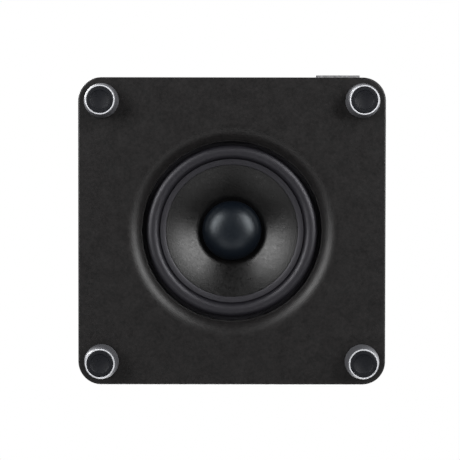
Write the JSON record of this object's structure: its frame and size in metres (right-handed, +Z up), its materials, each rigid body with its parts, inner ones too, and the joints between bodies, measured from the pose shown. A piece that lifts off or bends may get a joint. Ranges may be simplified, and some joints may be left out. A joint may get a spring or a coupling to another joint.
{
  "type": "subwoofer",
  "caption": "Compact down-firing powered subwoofer: black cube cabinet with rounded edges on turned feet, woofer in the underside, amplifier panel in the back.",
  "frame": {"origin": "middle of the whole object's footprint, on the surface that the feet rest on", "axes": "+Z up through the flat top, -Y towards the front, +X to the right as seen from the front"},
  "size_m": [0.27, 0.2914, 0.302],
  "materials": {
    "cabinet_wrap": "black textured wrap over fibreboard",
    "foot_shell": "dark grey moulded plastic with a satin, metallic-looking coat",
    "bright_ring": "bright plated ring",
    "foot_rubber": "matt black rubber",
    "surround_rubber": "satin black butyl rubber",
    "cone_paper": "matt dark grey pressed paper pulp with visible fibres",
    "cap_skin": "semi-gloss black dome",
    "spider_cloth": "resin-treated yellow cloth",
    "former_film": "amber film",
    "coil_copper": "lacquered copper wire",
    "zinc_steel": "zinc-plated steel",
    "basket_steel": "black powder coat",
    "ferrite": "dark grey ferrite",
    "black_screw": "black oxide steel",
    "gasket_foam": "black closed-cell foam",
    "wadding": "white polyester wadding",
    "badge_metal": "brushed, with a bright bevel, blank",
    "panel_paint": "black fine-texture powder coat",
    "control_plastic": "black moulded plastic",
    "jack_metal": "gold-plated",
    "tag_board": "brown fibre board",
    "heat_sink_metal": "natural extrusion",
    "circuit_board": "green solder mask",
    "transformer_tape": "yellow polyester tape",
    "lens": "clear blue lens",
    "cable_jacket": "black cable",
    "lead_braid": "braided tinsel lead"
  },
  "bodies": {
    "cabinet": {"cabinet_shell": "cabinet_wrap", "bottom_baffle": "cabinet_wrap", "damping_liner": "wadding", "front_badge": "badge_metal", "foot_body_front_left": "foot_shell", "foot_ring_front_left": "bright_ring", "foot_pad_front_left": "foot_rubber", "foot_screw_front_left": "zinc_steel", "foot_body_front_right": "foot_shell", "foot_ring_front_right": "bright_ring", "foot_pad_front_right": "foot_rubber", "foot_screw_front_right": "zinc_steel", "foot_body_rear_left": "foot_shell", "foot_ring_rear_left": "bright_ring", "foot_pad_rear_left": "foot_rubber", "foot_screw_rear_left": "zinc_steel", "foot_body_rear_right": "foot_shell", "foot_ring_rear_right": "bright_ring", "foot_pad_rear_right": "foot_rubber", "foot_screw_rear_right": "zinc_steel", "driver_gasket": "gasket_foam", "driver_basket": "basket_steel", "surround": "surround_rubber", "spider": "spider_cloth", "top_plate": "zinc_steel", "magnet_ring": "ferrite", "back_plate": "zinc_steel", "driver_screw_1": "black_screw", "driver_screw_2": "black_screw", "driver_screw_3": "black_screw", "driver_screw_4": "black_screw", "terminal_strip": "tag_board", "lead_wire_left": "lead_braid", "lead_wire_right": "lead_braid", "speaker_cable": "cable_jacket", "amp_gasket": "gasket_foam", "amp_plate": "panel_paint", "amp_screw_1": "black_screw", "amp_screw_2": "black_screw", "amp_screw_3": "black_screw", "amp_screw_4": "black_screw", "gain_pot": "zinc_steel", "crossover_pot": "zinc_steel", "line_in_jack_1": "jack_metal", "line_in_jack_2": "jack_metal", "phase_switch_body": "zinc_steel", "rocker_frame": "control_plastic", "power_inlet": "control_plastic", "status_lens": "lens", "heat_sink": "heat_sink_metal", "transformer": "transformer_tape", "amp_board": "circuit_board"},
    "cone_assembly": {"cone": "cone_paper", "dust_cap": "cap_skin", "coil_former": "former_film", "coil_winding": "coil_copper"},
    "gain_control": {"gain_knob": "control_plastic"},
    "crossover_control": {"crossover_knob": "control_plastic"},
    "phase_control": {"phase_slider": "control_plastic"},
    "power_control": {"power_rocker": "control_plastic"}
  },
  "joints": [
    {"name": "cone_travel", "type": "slide", "parent": "cabinet", "child": "cone_assembly", "axis": [0, 0, 1], "range_m": [-0.006, 0.006], "stiffness_N_per_m": 1350, "deforming": ["surround", "spider", "lead_wire_left", "lead_wire_right"]},
    {"name": "gain_turn", "type": "hinge", "parent": "cabinet", "child": "gain_control", "pos_m": [0.044, 0.1271, 0.23], "axis": [0, -1, 0], "range_deg": [-140, 140]},
    {"name": "crossover_turn", "type": "hinge", "parent": "cabinet", "child": "crossover_control", "pos_m": [-0.016, 0.1271, 0.23], "axis": [0, -1, 0], "range_deg": [-140, 140]},
    {"name": "phase_slide", "type": "slide", "parent": "cabinet", "child": "phase_control", "axis": [1, 0, 0], "range_m": [0, 0.004]},
    {"name": "power_rock", "type": "hinge", "parent": "cabinet", "child": "power_control", "pos_m": [0.034, 0.1286, 0.1], "axis": [-1, 0, 0], "range_deg": [0, 16]}
  ]
}
